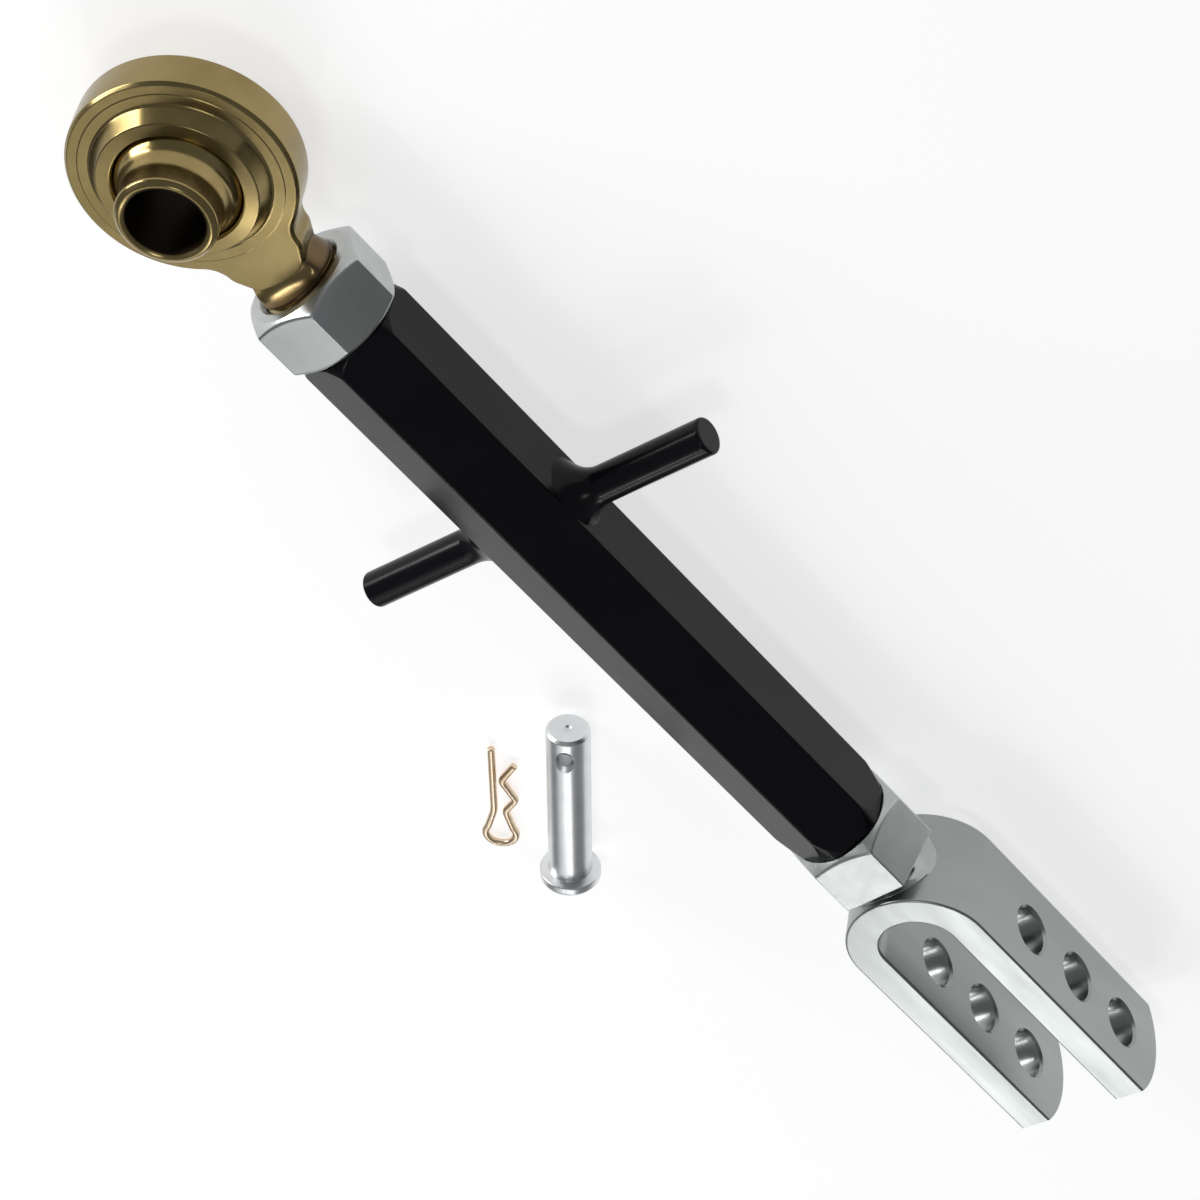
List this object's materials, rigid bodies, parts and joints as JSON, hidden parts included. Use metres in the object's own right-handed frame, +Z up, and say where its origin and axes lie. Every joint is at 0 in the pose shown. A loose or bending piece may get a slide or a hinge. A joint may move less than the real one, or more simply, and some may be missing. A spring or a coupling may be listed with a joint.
{
  "type": "tractor top link",
  "caption": "Adjustable three-point top link: hexagon turnbuckle barrel with cross handle, swivel ball end, drilled clevis end, lock nuts, loose clevis pin and hairpin clip.",
  "frame": {"origin": "middle of the underside of the whole part as it lies, on the surface that carries the ball's lower end", "axes": "+X along the link from the ball end to the clevis end, +Y along the cross handle and the clevis pin holes, +Z up along the swivel ball's bore"},
  "size_m": [0.4254, 0.1684, 0.044],
  "materials": {
    "black_coat": "satin black powder coat over steel",
    "clear_zinc": "clear zinc plate, satin",
    "yellow_zinc": "yellow zinc plate, satin to bright",
    "bright_zinc": "bright zinc plate, polished",
    "spring_wire": "yellow zinc plated spring wire, bright"
  },
  "bodies": {
    "clevis_end": {"clevis_yoke": "clear_zinc", "clevis_stud": "clear_zinc", "stud_weld": "clear_zinc"},
    "clevis_lock_nut": {"lock_nut_clevis_end": "clear_zinc"},
    "barrel": {"hex_barrel": "black_coat", "handle_bar": "black_coat", "handle_weld_right": "black_coat", "handle_weld_left": "black_coat"},
    "ball_lock_nut": {"lock_nut_ball_end": "clear_zinc"},
    "ball_end": {"ball_end_forging": "yellow_zinc"},
    "swivel": {"swivel_ball": "yellow_zinc"},
    "pin": {"clevis_pin": "bright_zinc"},
    "clip": {"hairpin_clip": "spring_wire"}
  },
  "joints": [
    {"name": "clevis_screw", "type": "slide", "parent": "clevis_end", "child": "clevis_lock_nut", "axis": [-1, 0, 0], "range_m": [0, 0.04]},
    {"name": "barrel_turn", "type": "hinge", "parent": "clevis_lock_nut", "child": "barrel", "pos_m": [-0.02177, 0.02868, 0.022], "axis": [1, 0, 0], "range_deg": [0, 5760]},
    {"name": "ball_nut_hold", "type": "hinge", "parent": "barrel", "child": "ball_lock_nut", "pos_m": [-0.13508, 0.02868, 0.022], "axis": [1, 0, 0], "range_deg": [-5760, 0]},
    {"name": "ball_screw", "type": "slide", "parent": "ball_lock_nut", "child": "ball_end", "axis": [-1, 0, 0], "range_m": [0, 0.04]},
    {"name": "ball_tilt", "type": "hinge", "parent": "ball_end", "child": "swivel", "pos_m": [-0.18427, 0.02868, 0.022], "axis": [1, 0, 0], "range_deg": [-12, 12]},
    {"name": "pin_lift", "type": "slide", "parent": "clevis_end", "child": "pin", "axis": [0, 0, 1], "range_m": [0, 0.1]},
    {"name": "clip_lift", "type": "slide", "parent": "clevis_end", "child": "clip", "axis": [0, 0, 1], "range_m": [0, 0.1]}
  ],
  "couplings": [
    {"joint": "barrel_turn", "follows": "clevis_screw", "rad_per_m": 2513.3},
    {"joint": "ball_nut_hold", "follows": "clevis_screw", "rad_per_m": -2513.3},
    {"joint": "ball_screw", "follows": "clevis_screw", "ratio": 1}
  ]
}
